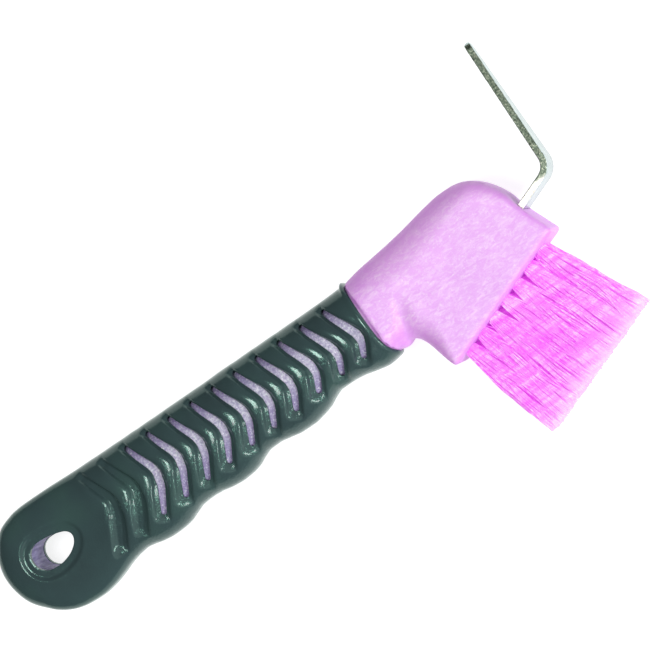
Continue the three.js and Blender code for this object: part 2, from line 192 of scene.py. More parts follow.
# ------------------------------------------------------------------ grip outline
G = np.array([
    [-107.6, -6.4, -6.9, 0.4, 2.2], [-107.45, -4.9, -8.4, 1.5, 2.2], [-107.1, -3.3, -10.3, 2.7, 2.3],
    [-106.3, -1.0, -13.1, 3.9, 2.4], [-105.2, 1.1, -15.3, 4.8, 2.6], [-104.0, 2.6, -16.8, 5.4, 2.8],
    [-102.0, 4.5, -18.8, 6.0, 3.0], [-100.0, 5.6, -20.6, 6.3, 3.2], [-97.5, 6.4, -22.2, 6.4, 3.2],
    [-95.0, 6.9, -23.2, 6.4, 3.3], [-92.0, 7.05, -23.8, 6.4, 3.3], [-88.0, 7.0, -24.0, 6.4, 3.3],
    [-84.0, 6.9, -23.5, 6.5, 3.2], [-80.0, 6.7, -22.4, 6.8, 3.0], [-77.0, 6.55, -21.4, 7.2, 2.8],
    [-74.0, 6.45, -20.7, 7.7, 2.6], [-71.0, 6.4, -20.4, 8.1, 2.5], [-68.5, 6.3, -20.8, 8.5, 2.4],
    [-66.0, 6.25, -21.4, 8.65, 2.4], [-63.0, 6.2, -21.7, 8.75, 2.4], [-60.0, 6.1, -21.6, 8.8, 2.35],
    [-57.5, 6.1, -21.2, 8.85, 2.35], [-55.0, 6.0, -20.3, 8.9, 2.35], [-52.5, 6.0, -19.5, 8.9, 2.35],
    [-49.5, 5.9, -19.3, 8.9, 2.35], [-46.5, 5.9, -19.45, 8.9, 2.35], [-43.0, 5.85, -20.1, 8.9, 2.35],
    [-40.0, 5.8, -20.35, 8.9, 2.35], [-37.0, 5.75, -20.15, 8.9, 2.35], [-34.5, 5.7, -19.6, 8.9, 2.35],
    [-32.0, 5.7, -18.5, 8.9, 2.35], [-29.5, 5.75, -17.75, 8.9, 2.35], [-26.5, 5.7, -17.7, 8.9, 2.35],
    [-23.5, 5.6, -18.2, 8.9, 2.35], [-20.0, 5.6, -18.8, 8.9, 2.35], [-16.5, 5.5, -18.85, 8.9, 2.35],
    [-13.5, 5.5, -18.4, 8.9, 2.35], [-10.5, 5.4, -17.6, 8.9, 2.35], [-8.0, 5.4, -16.4, 8.9, 2.35],
    [-5.5, 5.35, -15.65, 8.9, 2.35], [-2.5, 5.3, -15.65, 8.9, 2.35], [0.5, 5.3, -16.0, 8.9, 2.35],
    [3.5, 5.3, -16.9, 8.9, 2.35], [6.2, 5.35, -17.5, 8.9, 2.35], [8.0, 5.4, -17.3, 8.85, 2.35],
    [10.3, 5.45, -16.7, 8.8, 2.35]])


def grip_at(x):
    return [hermite(G[:, 0], G[:, k], x) for k in (1, 2, 3, 4)]


def end_x(y):
    """How far the grip's end reaches towards the head, by place across it."""
    return hermite([-17.5, -16.2, -15.3, -13.4, -10.3, -5.7, -0.3, 4.6, 6.5],
                   [2.6, 2.3, 1.6, 0.95, 0.55, 0.45, 0.3, 0.0, -0.1], y)


def superellipse(yt, yb, h, p, f):
    c, s = np.cos(f), np.sin(f)
    yc, a = (yt + yb) / 2, (yt - yb) / 2
    return yc + a * np.sign(c) * np.abs(c) ** (2 / p), h * np.sign(s) * np.abs(s) ** (2 / p)


F_DENSE = np.linspace(0, 2 * np.pi, 1441)


def section_ring(x, n, inset=0.0, edge=None, side_weight=0.45):
    """One section, its points spread evenly along the outline, with its normals."""
    yt, yb, h, p = [float(v) for v in grip_at(x)]
    edge = inset if edge is None else edge
    yt, yb, h = yt - edge, yb + edge, h - inset
    y, z = superellipse(yt, yb, h, p, F_DENSE)
    w = side_weight + (1 - side_weight) * step(np.abs(z) / max(h, 1e-6), 0.25, 0.6)
    ds = np.hypot(np.diff(y), np.diff(z)) * (w[1:] + w[:-1]) / 2
    run = np.r_[0, np.cumsum(ds)]
    t = np.arange(n) / n * run[-1]
    f = np.interp(t, run, F_DENSE)
    y, z = superellipse(yt, yb, h, p, f)
    e = 1e-3
    y1, z1 = superellipse(yt, yb, h, p, f + e)
    y0, z0 = superellipse(yt, yb, h, p, f - e)
    ny, nz = (z1 - z0), -(y1 - y0)
    L = np.hypot(ny, nz) + 1e-12
    return y, z, ny / L, nz / L


def inset_ring(x, n, wall):
    y, z, ny, nz = section_ring(x, n, side_weight=1.0)
    return y - ny * wall, z - nz * wall


def slanted(x, y):
    k = step(x, -4.0, 10.3)
    return x + k * end_x(y)


# ------------------------------------------------------------------ chevrons and hole
SLOTS, GROOVES = 10, 2
# the first chevron's centre line, and how far it moves per chevron
LINE_Y = [-18.0, -16.0, -13.0, -11.5, -10.0, -8.5, -7.0, -5.6, -4.0, -2.0, 0.0, 1.8, 3.0, 5.5]
LINE_X = [1.4, 2.7, 4.66, 5.55, 6.40, 6.88, 6.85, 6.45, 5.77, 4.80, 3.80, 2.95, 2.32, 1.0]
STEP_Y = [-18.0, -8.5, -7.0, -5.6, -4.0, 5.5]
STEP_X = [-7.03, -7.02, -6.97, -6.92, -6.89, -6.88]
WIDE_F = [0.0, 0.15, 0.35, 0.52, 0.62, 0.80, 1.0]
WIDE_W = [0.70, 0.82, 0.94, 1.08, 1.06, 0.94, 0.74]


def chevron_path(i, back=0.0, front=0.0, n=46):
    y = np.linspace(2.45 + 0.07 * i + back, -12.2 - 0.38 * i - front, n)
    return np.c_[hermite(LINE_Y, LINE_X, y) + i * np.interp(y, STEP_Y, STEP_X), y]


def half_width(f):
    return hermite(WIDE_F, WIDE_W, np.clip(f, 0, 1))


def path_distance(p, path):
    """Distance to a polyline and how far along it the nearest point lies (mm)."""
    best = np.full(len(p), 1e9)
    at = np.zeros(len(p))
    run = 0.0
    for a, b in zip(path[:-1], path[1:]):
        d = b - a
        L = np.linalg.norm(d)
        t = np.clip(((p - a) @ d) / L**2, 0, 1)
        q = np.linalg.norm(p - (a + t[:, None] * d), axis=1)
        m = q < best
        best[m], at[m] = q[m], run + t[m] * L
        run += L
    return best, at, run


HOLE = np.array([[-97.2, -6.6], [-96.2, -4.5], [-94.1, -3.5], [-90.8, -3.6], [-87.9, -4.2], [-85.2, -5.2],
                 [-84.1, -6.8], [-84.8, -8.7], [-86.9, -10.3], [-89.6, -11.2], [-92.3, -11.4], [-95.0, -10.8],
                 [-96.8, -9.0]])


def smooth_closed(pts, n):
    """A closed Catmull-Rom curve through points, evenly spaced."""
    pts = np.asarray(pts, float)
    m = len(pts)
    out = []
    for i in range(m):
        p0, p1, p2, p3 = pts[i - 1], pts[i], pts[(i + 1) % m], pts[(i + 2) % m]
        for t in np.linspace(0, 1, 24, endpoint=False):
            out.append(0.5 * (2 * p1 + (p2 - p0) * t + (2 * p0 - 5 * p1 + 4 * p2 - p3) * t**2
                              + (3 * p1 - p0 - 3 * p2 + p3) * t**3))
    out = np.array(out + [out[0]])
    run = np.r_[0, np.cumsum(np.linalg.norm(np.diff(out, axis=0), axis=1))]
    t = np.arange(n) / n * run[-1]
    return np.c_[np.interp(t, run, out[:, 0]), np.interp(t, run, out[:, 1])]


def offset_closed(poly, d):
    a, b = np.roll(poly, 1, axis=0), np.roll(poly, -1, axis=0)
    t = b - a
    t /= np.linalg.norm(t, axis=1)[:, None]
    area = 0.5 * np.sum(poly[:, 0] * np.roll(poly[:, 1], -1) - np.roll(poly[:, 0], -1) * poly[:, 1])
    s = 1.0 if area > 0 else -1.0
    return poly + s * d * np.c_[t[:, 1], -t[:, 0]]


HOLE_CURVE = smooth_closed(HOLE, 120)


def inside(poly, p):
    x, y = p[:, 0], p[:, 1]
    c = np.zeros(len(p), bool)
    for (x0, y0), (x1, y1) in zip(poly, np.roll(poly, -1, axis=0)):
        m = ((y0 > y) != (y1 > y)) & (x < (x1 - x0) * (y - y0) / ((y1 - y0) or 1e-12) + x0)
        c ^= m
    return c


def ramp_up(t, r=0.22):
    """max(t, 0) with a small round-off at the corner."""
    t = np.asarray(t, float)
    return np.where(t < -r, 0.0, np.where(t > r, t, (t + r) ** 2 / (4 * r)))


def valley_depth(p, x):
    """How far the soft skin lies below the plain section at plan points p."""
    depth = np.zeros(len(p))
    for i in range(SLOTS + GROOVES):
        back, front = 2.1, 3.2
        path = chevron_path(i, back, front, 60)
        lo, hi = path.min(0) - 4.2, path.max(0) + 4.2
        m = np.all((p > lo) & (p < hi), axis=1)
        if not m.any():
            continue
        d, at, total = path_distance(p[m], path)
        core = chevron_path(i)
        length = np.sum(np.linalg.norm(np.diff(core, axis=0), axis=1))
        lead = np.sum(np.linalg.norm(np.diff(chevron_path(i, back, 0, 60), axis=0), axis=1)) - length
        f = (at - lead) / length
        e = d - half_width(f)
        low = step(f, 0.45, 0.8)
        begin = step(f, -0.05, 0.22)
        rise = 0.82 + 0.18 * step(f, -0.02, 0.22)
        crest = 2.05 + 0.35 * low
        wall = 0.40 + 0.12 * begin + 0.18 * step(f, 0.2, 0.55) + 0.60 * low
        pillow = 0.52 * (0.35 + 0.65 * begin) * np.clip(1 - np.clip(e, 0, None) / (crest * (0.5 + 0.5 * begin)), 0, 1) ** 2
        ec = np.clip(e, 0, None)
        side = 0.66 * np.minimum(ramp_up((wall - ec) / 0.42, 0.30), 1.0)
        side += 0.20 * np.clip((wall - ec) / wall, 0, 1) + 0.16 * np.clip(1 - ec / 0.28, 0, 1) ** 2
        fade = step(at, 0.0, lead - 0.1) * step(total - at, 0.5, 3.6)
        v = (pillow + side * rise) * fade
        if i >= SLOTS:
            v *= 0.86 - 0.10 * (i - SLOTS)
        depth[m] = np.maximum(depth[m], v)
    return depth


def hole_depth(p):
    out = np.zeros(len(p))
    m = np.linalg.norm(p - HOLE_CURVE.mean(0), axis=1) < 16
    if m.any():
        q = p[m]
        d = np.min(np.linalg.norm(q[:, None, :] - HOLE_CURVE[None], axis=2), axis=1)
        d[inside(HOLE_CURVE, q)] = 0.0
        dish = 0.45 * np.minimum(ramp_up((2.75 - d) / 0.9, 0.16), 1.0)
        r = 0.08
        e = np.clip(1 - d / r, 0, 1)
        out[m] = dish + r * (1 - np.sqrt(np.clip(1 - e * e, 0, 1)))
    return out


# ------------------------------------------------------------------ grip skin
def build_grip():
    xs = np.r_[-107.6 + 5.6 * (1 - np.cos(np.linspace(0, np.pi / 2, 26))) ** 1.0,
               np.arange(-101.7, -82.0, 0.36), np.arange(-82.0, 6.0, 0.30), np.linspace(6.0, 10.3, 18)]
    n = 224
    rings = []
    for x in xs:
        y, z, ny, nz = section_ring(x, n)
        p = np.c_[np.full(n, x), y]
        pl = np.c_[slanted(np.full(n, x), y), y]
        face = step(np.abs(nz), 0.06, 0.42)
        dep = valley_depth(pl, x) * face + hole_depth(pl) * step(np.abs(nz), 0.3, 0.8)
        # a rolled lip stands up along the collar, strongest on the back edge
        up = np.exp(-((x - 9.5) / 0.55) ** 2) * (0.10 + 0.72 * step(ny, 0.50, 0.96))
        edge = step(x, 9.9, 10.3) ** 2 * 0.22
        k = up - dep - edge
        rings.append(np.c_[pl[:, 0], y + ny * k, z + nz * k])
    outer = rings_to_mesh("grip_skin", rings)

    # the hollow that the handle core fills, open at the collar
    xs = np.r_[-105.6, -105.2, -104.4, -103.2, np.arange(-102, 5, 2.0), 6.0, 7.5, 9.0, 10.0, 10.7, 12.0]
    inner = []
    for x in xs:
        xi = min(x, 10.3)
        wall = 1.6 + 0.2 * step(x, -84, -74) - 1.2 * step(x, 5.5, 10.3)
        y, z = inset_ring(xi, 110, wall)
        k = 0.45 + 0.55 * np.sqrt(max(0.0, 1 - ((-100.5 - x) / 5.2) ** 2)) if x < -100.5 else 1.0
        yc = y.mean()
        inner.append(np.c_[slanted(np.full(110, xi), y) + max(0, x - 10.3), yc + (y - yc) * k, z * k])
    cavity = rings_to_mesh("grip_cavity", inner)
    cut(outer, [cavity])

    tools = [prism("t", offset_closed(HOLE_CURVE, 0.02), -14, 14)]
    for i in range(SLOTS):
        path = chevron_path(i)
        t = np.gradient(path, axis=0)
        t /= np.linalg.norm(t, axis=1)[:, None]
        nn = np.c_[-t[:, 1], t[:, 0]]
        w = half_width(np.linspace(0, 1, len(path)))[:, None]
        f = np.linspace(0, np.pi, 9)[1:-1, None]
        a = path[-1] + w[-1] * (nn[-1] * np.cos(f) + t[-1] * np.sin(f))
        b = path[0] + w[0] * (-nn[0] * np.cos(f) - t[0] * np.sin(f))
        poly = np.vstack([path + nn * w, a, path[::-1] - nn[::-1] * w[::-1], b])
        tools.append(prism("t", poly, 1.2, 14))
        tools.append(prism("t", poly, -14, -1.2))
    cut(outer, [join(tools)])
    shade(outer, 38)
    return outer


# ------------------------------------------------------------------ core
HEAD = np.array([
    [10.6, 5.3, 7.5, 6.6], [15.5, 6.2, 8.8, 6.6], [20, 6.7, 9.6, 6.6], [25, 7.25, 9.8, 6.6], [30, 7.95, 9.4, 6.6],
    [35, 8.85, 8.6, 6.6], [39, 9.5, 7.8, 6.6], [42.5, 9.9, 7.0, 6.6], [45.6, 9.85, 6.2, 6.4], [48.2, 9.45, 5.5, 6.2],
    [50.6, 8.45, 4.8, 5.8], [52.6, 6.85, 4.2, 5.2], [54.3, 4.8, 3.6, 4.6], [55.7, 2.5, 3.0, 4.0], [56.8, 0.0, 2.5, 3.4],
    [57.5, -3.0, 2.1, 2.7], [58.5, -6.0, 1.9, 2.3], [59.8, -9.2, 1.8, 2.0], [61.35, -13.1, 1.6, 1.7]])
FACE_A, FACE_B = np.array([61.5, -13.6]), np.array([23.1, -27.5])
NOTCH = np.array([
    [22.9, -27.1, 1.6, 1.8], [22.4, -26.0, 2.0, 2.1], [21.75, -24.3, 3.0, 2.8], [21.1, -22.4, 4.2, 3.8],
    [20.4, -20.3, 5.4, 4.8], [19.6, -18.3, 6.2, 5.6], [18.7, -16.8, 6.6, 6.0], [17.4, -15.7, 6.6, 6.2],
    [16.0, -15.2, 6.2, 6.2], [14.6, -15.3, 5.8, 6.3], [12.6, -15.9, 5.2, 6.6]])
ALONG = (FACE_B - FACE_A) / np.linalg.norm(FACE_B - FACE_A)
OUT = np.array([-ALONG[1], ALONG[0]])


def face_point(s, n):
    return FACE_A + np.multiply.outer(np.asarray(s, float), ALONG) + np.multiply.outer(np.asarray(n, float), OUT)


def curve_through(pts, n):
    """Evenly spaced points on a smooth open curve, all columns together."""
    pts = np.asarray(pts, float)
    run = np.r_[0, np.cumsum(np.linalg.norm(np.diff(pts[:, :2], axis=0), axis=1))]
    t = np.linspace(0, run[-1], n)
    return np.stack([hermite(run, pts[:, k], t) for k in range(pts.shape[1])], 1)


# the soft crease where the swollen neck meets the head, deepest in the middle
CREASE = np.array([[20.2, -4.5], [19.5, -7.4], [18.3, -10.6], [17.4, -13.4], [17.0, -16.5]])
CREASE_DEEP = np.array([0.0, 0.5, 0.9, 1.0, 0.85])


def press_crease(o):
    n = len(o.data.vertices)
    co = np.empty(n * 3)
    o.data.vertices.foreach_get("co", co)
    co = co.reshape(n, 3)
    p = co * 1000.0 - SHIFT
    y = np.clip(p[:, 1], CREASE[-1, 1], CREASE[0, 1])
    x0 = np.interp(y, CREASE[::-1, 1], CREASE[::-1, 0])
    deep = np.interp(p[:, 1], CREASE[::-1, 1], CREASE_DEEP[::-1], left=1.0, right=0.0)
    d = p[:, 0] - x0
    fall = np.exp(-(d / np.where(d < 0, 1.35, 2.7)) ** 2)
    z = p[:, 2]
    part = np.clip((np.abs(z) - 2.0) / 4.0, 0, 1)
    p[:, 2] = z - np.sign(z) * deep * fall * part
    o.data.vertices.foreach_set("co", ((p + SHIFT) / 1000.0).ravel())
    o.data.update()


def build_core():
    back, notch = curve_through(HEAD, 150), curve_through(NOTCH, 70)
    t = np.linspace(0, 1, 90)[1:-1, None]
    a, b = FACE_A + ALONG * 0.15, FACE_B - ALONG * 0.15
    face = np.c_[a + (b - a) * t, np.full((len(t), 2), 1.8)]
    outline = np.vstack([back, face, notch])
    n = len(outline)
    tang = np.gradient(outline[:, :2], axis=0)
    tang /= np.linalg.norm(tang, axis=1)[:, None]
    nrm = np.c_[tang[:, 1], -tang[:, 0]]               # towards the inside
    zs = 9.0 * np.sin(np.linspace(-np.pi / 2, np.pi / 2, 45))
    rings = []
    for z in zs:
        rn, rz = outline[:, 2], outline[:, 3]
        d = np.clip(np.abs(z) - (9.0 - rz), 0, None) / rz
        draw = rn * (1 - np.sqrt(np.clip(1 - d * d, 0, 1)))
        p = outline[:, :2] + nrm * draw[:, None]
        close = p[-1] + (p[0] - p[-1]) * np.linspace(0, 1, 60)[1:-1, None]
        q = np.vstack([p, close])
        rings.append(np.c_[q, np.full(len(q), z)])
    rings = np.array(rings)
    r, m, _ = rings.shape
    v = rings.reshape(-1, 3)
    faces = [tuple(range(m))[::-1], tuple((r - 1) * m + k for k in range(m))]
    for i in range(r - 1):
        for j in range(m):
            k = (j + 1) % m
            faces.append((i * m + j, i * m + k, (i + 1) * m + k, (i + 1) * m + j))
    head = mesh_object("handle_core_moulding", v, faces)
    fix_normals(head)

    xs = np.r_[-105.3, -104.9, -104.2, -103.0, np.arange(-102, 5, 1.5), np.arange(5.5, 19.41, 0.35), 19.4]
    rows = []
    for x in xs:
        xi = min(x, 10.3)
        e = 1.68 + 0.2 * step(x, -84, -74) - 1.2 * step(x, 5.5, 10.3) - 0.35 * step(x, 10.5, 12.0)
        y, z = inset_ring(xi, 110, e)
        k = 0.45 + 0.55 * np.sqrt(max(0.0, 1 - ((-100.5 - x) / 5.0) ** 2)) if x < -100.5 else 1.0
        yc = y.mean()
        y, z = yc + (y - yc) * k, z * k
        if x > 10.3:                                   # the neck swells, then ends in a soft crease
            top = hermite([10.3, 15, 20, 24.5], [0.0, -0.2, -1.0, -3.0], x)
            low = hermite([10.3, 12.5, 14.5, 16.2, 17.6, 18.6, 19.4], [0.0, -0.1, 0.5, 1.0, 1.6, 3.2, 6.0], x)
            w = (y - y.min()) / (y.max() - y.min())
            y = y + w * top + (1 - w) * low
            z = z * hermite([10.3, 13.5, 16.5, 17.8, 18.8, 19.4], [1.0, 1.045, 1.06, 1.03, 0.93, 0.76], x)
        rows.append(np.c_[slanted(np.full(110, xi), y) + max(0, x - 10.3), y, z])
    handle = rings_to_mesh("core_handle", rows)
    core = join([head, handle])
    m = core.modifiers.new("weld", "REMESH")
    m.mode = "VOXEL"
    m.voxel_size = 0.00043
    m = core.modifiers.new("soften", "SMOOTH")
    m.factor = 0.5
    m.iterations = 5
    apply_modifiers(core)
    press_crease(core)

    tools = [prism("t", offset_closed(HOLE_CURVE, 0.12), -12, 12)]
    for s, z in tuft_seats():
        tools.append(cylinder("t", s, z, -7.6, 3.0, 1.75, 20))
    tools.append(strip_mesh("t", 0.12, True))
    cut(core, [join(tools)])
    shade(core, 40)
    return core


def tuft_seats():
    return [(6.0 + 4.95 * i, (j - 1) * 5.2) for i in range(7) for j in range(3)]


def cylinder(name, s, z, n0, n1, r, sides):
    rings = []
    f = np.arange(sides) / sides * 2 * np.pi
    for nn in (n0, n1):
        q = face_point(s + r * np.cos(f), np.full(sides, nn))
        rings.append(np.c_[q, z + r * np.sin(f)])
    return rings_to_mesh(name, rings)


# ------------------------------------------------------------------ pick
EXIT, DIRN = np.array([58.1, -4.3]), np.array([0.937, 0.349]) / math.hypot(0.937, 0.349)
CORNER, BEND_R, TIP = np.array([68.95, -0.26]), 4.6, np.array([69.2, 36.5])


def pick_line():
    end = EXIT - DIRN * 22.0
    rise = (TIP - CORNER) / np.linalg.norm(TIP - CORNER)
    turn = math.acos(float(DIRN @ rise))
    c = BEND_R * math.tan(turn / 2)
    a = CORNER - DIRN * c
    o = a + np.array([-DIRN[1], DIRN[0]]) * BEND_R
    st = math.atan2(*(a - o)[::-1])
    arc = [o + BEND_R * np.array([math.cos(st + turn * k / 24), math.sin(st + turn * k / 24)]) for k in range(25)]
    foot = arc[-1]
    leg = [end + (a - end) * t for t in np.linspace(0, 1, 60)[:-1]]
    up = [foot + (TIP - foot) * t for t in np.r_[np.linspace(0, 0.93, 70)[1:], 0.93 + 0.07 * np.sin(np.linspace(0, np.pi / 2, 22))[1:]]]
    return np.array(leg + arc + up), 60 + 24


def strip_mesh(name, grow=0.0, shank_only=False):
    path, bend_end = pick_line()
    run = np.r_[0, np.cumsum(np.linalg.norm(np.diff(path, axis=0), axis=1))]
    total = run[-1]
    if shank_only:
        keep = run < 24.5
        path, run = path[keep], run[keep]
    rings = []
    for i, p in enumerate(path):
        a, b = path[max(i - 1, 0)], path[min(i + 1, len(path) - 1)]
        t = (b - a) / np.linalg.norm(b - a)
        nn = np.array([-t[1], t[0]])
        f = max(0.0, (run[i] - 24 - 12) / (total - 36))
        w = (12.0 + (4.0 - 12.0) * f) / 2
        left = total - run[i]
        if left < 2.0:
            w = max(0.25, w * math.sqrt(max(0.0, 1 - ((2.0 - left) / 2.0) ** 2)))
        h = (1.75 + (1.65 - 1.75) * f) / 2
        if left < 0.75:
            h *= 0.30 + 0.70 * math.sqrt(max(0.0, 1 - ((0.75 - left) / 0.75) ** 2))
        w, h = w + grow, h + grow
        q = p - (t * grow if i == 0 else 0)
        r = min(0.28, h * 0.45, w * 0.6)
        prof = []
        for cx, cz, f0 in ((h - r, w - r, 0), (-h + r, w - r, 90), (-h + r, -w + r, 180), (h - r, -w + r, 270)):
            for k in range(5):
                g = math.radians(f0 + 22.5 * k)
                prof.append((cx + r * math.cos(g), cz + r * math.sin(g)))
            if f0 in (0, 180):                        # no points are added across the sheared edge here
                pass
        # extra points across the wide faces keep the shading even
        full = []
        for k, (d, z) in enumerate(prof):
            full.append((d, z))
            d2, z2 = prof[(k + 1) % len(prof)]
            if k in (4, 9, 14, 19):
                for u in (0.25, 0.5, 0.75):
                    full.append((d + (d2 - d) * u, z + (z2 - z) * u))
        rings.append([(q[0] + nn[0] * d, q[1] + nn[1] * d, z) for d, z in full])
    rings = np.array(rings)
    if grow == 0.0:
        # the shear leaves small nicks and a wave along both narrow edges
        w_abs = np.abs(rings[:, :, 2])
        edge = w_abs > (w_abs.max(axis=1, keepdims=True) - 0.33)
        jit = RNG.normal(0, 0.035, rings.shape[:2]) * edge
        wave = 0.05 * np.sin(run[:, None] * 2.3 + np.arange(rings.shape[1])[None] * 0.7) * edge
        rings[:, :, 2] += np.sign(rings[:, :, 2]) * (jit - np.abs(wave) * 0.5)
    return rings_to_mesh(name, rings, 50 if grow == 0.0 else None)


# ------------------------------------------------------------------ bristles
def build_tuft(i, j):
    """One tuft: filaments pushed aside round the anchor, flared and slightly crimped, cut flat."""
    s0, z0 = 6.0 + 4.95 * i, (j - 1) * 5.2
    s1, z1 = 20.85 + (i - 3) * 5.35, (j - 1) * 5.9
    count, sides, groups = 104, 5, 13
    verts, faces, caps = [], [], []
    lv = np.array([-6.9, -3.2, -0.6, 1.6, 3.8, 6.4, 9.4, 12.8, 16.6, 20.6, 24.4, 28.0])
    f = np.arange(sides) / sides * 2 * np.pi
    golden = math.pi * (3 - math.sqrt(5))
    lean = RNG.normal(0, 1.0, (groups, 2)) * [1.25, 0.7]
    bow = RNG.normal(0, 0.75, (groups, 2))
    wave = RNG.uniform(0, 2 * np.pi, groups)
    for k in range(count):
        rad = math.sqrt((k + 0.5) / count)
        ang = k * golden + RNG.normal(0, 0.10)
        u, w = rad * math.cos(ang), rad * math.sin(ang)
        g = int(((ang + 0.35 * rad) % (2 * math.pi)) / (2 * math.pi) * (groups - 3)) if rad > 0.45 else groups - 1 - k % 3
        bs, bz = u * 1.5, w * 1.5
        m = max(abs(u), abs(w), 1e-6) / max(rad, 1e-6)
        ts = s1 + (u / m) * 3.1 + lean[g, 0] * 1.15 + RNG.normal(0, 0.9)
        tz = z1 + (w / m) * 2.8 + lean[g, 1] + RNG.normal(0, 0.45)
        ts = min(max(ts, 2.0 + abs(RNG.normal(0, 0.2))), 40.0 - abs(RNG.normal(0, 0.2)))
        tz = min(max(tz, -8.6), 8.6)
        ph = RNG.uniform(0, 2 * np.pi, 4)
        cr = np.abs(RNG.normal(0, 0.17, 2)) + 0.06
        length = 28.0 + RNG.normal(0, 0.16)
        power = 0.62 + RNG.uniform(-0.10, 0.16)
        if (i == 6 and ts > s0 + bs) or (i == 0 and ts < s0 + bs):
            power += 0.28
        r = 0.165 + RNG.normal(0, 0.012)
        pts = []
        for n in lv:
            n2 = length if n > 27.5 else n
            t = min(max((n2 + 1.0) / 29.0, 0.0), 1.0)
            e = t ** power
            q = min(max((-n2 - 2.0) / 4.0, 0), 1)     # round the anchor at the foot
            arch = math.sin(math.pi * min(1, t * 1.05))
            a = s0 + bs + (ts - s0 - bs) * e + bow[g, 0] * arch * t + 0.22 * math.sin(6.5 * t + wave[g]) * min(1, 3 * t) * (1 - 0.6 * t) + cr[0] * math.sin(9.5 * t + ph[0]) * min(1, 2.5 * t)
            c = z0 + bz + (tz - z0 - bz) * e + bow[g, 1] * arch * t + cr[1] * math.sin(8.5 * t + ph[1]) * min(1, 2.5 * t)
            a += q * 0.34 * (1 if bs >= 0 else -1)
            pts.append((a, min(max(c, -8.78), 8.78), n2))
        pts = np.array(pts)
        base = len(verts)
        for a in range(len(pts)):
            d = pts[min(a + 1, len(pts) - 1)] - pts[max(a - 1, 0)]
            d /= np.linalg.norm(d)
            e1 = np.cross(d, [0, 1, 0]); e1 /= np.linalg.norm(e1)
            e2 = np.cross(d, e1)
            for h in f:
                c = pts[a] + r * (math.cos(h) * e1 + math.sin(h) * e2)
                if a == len(pts) - 1:
                    c[2] = pts[a][2]                   # the cut is flat
                xy = face_point(c[0], c[2])
                verts.append((xy[0], xy[1], c[1]))
        rows = len(pts)
        for a in range(rows - 1):
            for b in range(sides):
                c = (b + 1) % sides
                faces.append((base + a * sides + b, base + a * sides + c, base + (a + 1) * sides + c, base + (a + 1) * sides + b))
        faces.append(tuple(base + b for b in range(sides))[::-1])
        caps.append(len(faces))
        faces.append(tuple(base + (rows - 1) * sides + b for b in range(sides)))
    o = mesh_object("bristles_%d_%s" % (i + 1, "abc"[j]), verts, faces)
    bm = bmesh.new()
    bm.from_mesh(o.data)
    bmesh.ops.recalc_face_normals(bm, faces=bm.faces)
    bm.faces.ensure_lookup_table()
    for k in caps:
        bm.faces[k].material_index = 1
    for face in bm.faces:
        face.smooth = len(face.verts) == 4
    bm.to_mesh(o.data)
    bm.free()
    return o


# ------------------------------------------------------------------ materials
def new_material(name):
    m = bpy.data.materials.new(name)
    m.use_nodes = True
    nt = m.node_tree
    nt.nodes.clear()
    out = nt.nodes.new("ShaderNodeOutputMaterial")
    b = nt.nodes.new("ShaderNodeBsdfPrincipled")
    nt.links.new(b.outputs[0], out.inputs[0])
    co = nt.nodes.new("ShaderNodeTexCoord")
    return m, nt, b, co


def noise(nt, co, scale, detail=4.0, rough=0.55, stretch=None, rotz=0.0, distort=0.0):
    n = nt.nodes.new("ShaderNodeTexNoise")
    n.inputs["Scale"].default_value = scale
    n.inputs["Detail"].default_value = detail
    n.inputs["Roughness"].default_value = rough
    n.inputs["Distortion"].default_value = distort
    src = co.outputs["Object"]
    if stretch:
        mp = nt.nodes.new("ShaderNodeMapping")
        mp.inputs["Rotation"].default_value = (0, 0, rotz)
        mp.inputs["Scale"].default_value = stretch
        nt.links.new(src, mp.inputs["Vector"])
        src = mp.outputs["Vector"]
    nt.links.new(src, n.inputs["Vector"])
    return n.outputs["Fac"]


def ramp(nt, fac, stops):
    r = nt.nodes.new("ShaderNodeValToRGB")
    el = r.color_ramp.elements
    while len(el) < len(stops):
        el.new(0.5)
    for e, (p, c) in zip(el, stops):
        e.position = p
        e.color = (c[0], c[1], c[2], 1) if hasattr(c, "__len__") else (c, c, c, 1)
    nt.links.new(fac, r.inputs["Fac"])
    return r.outputs["Color"]


def mix_color(nt, fac, a, b, mode="MIX"):
    m = nt.nodes.new("ShaderNodeMix")
    m.data_type = "RGBA"
    m.blend_type = mode
    for sock, val in ((m.inputs["Factor"], fac), (m.inputs["A"], a), (m.inputs["B"], b)):
        pass
    ins = [s for s in m.inputs if s.type == "RGBA"]
    if isinstance(fac, (int, float)):
        m.inputs[0].default_value = fac
    else:
        nt.links.new(fac, m.inputs[0])
    for s, val in zip(ins, (a, b)):
        if hasattr(val, "__len__"):
            s.default_value = (val[0], val[1], val[2], 1)
        else:
            nt.links.new(val, s)
    return [s for s in m.outputs if s.type == "RGBA"][0]


def math_node(nt, op, a, b=None, clamp=False):
    m = nt.nodes.new("ShaderNodeMath")
    m.operation = op
    m.use_clamp = clamp
    for s, val in zip(m.inputs, (a, b)):
        if val is None:
            continue
        if isinstance(val, (int, float)):
            s.default_value = val
        else:
            nt.links.new(val, s)
    return m.outputs[0]


def bump(nt, bsdf, heights):
    """Bump nodes chained: (height socket, strength, distance in metres)."""
    prev = None
    for h, strength, dist in heights:
        bn = nt.nodes.new("ShaderNodeBump")
        bn.inputs["Strength"].default_value = strength
        bn.inputs["Distance"].default_value = dist
        nt.links.new(h, bn.inputs["Height"])
        if prev is not None:
            nt.links.new(prev, bn.inputs["Normal"])
        prev = bn.outputs["Normal"]
    nt.links.new(prev, bsdf.inputs["Normal"])


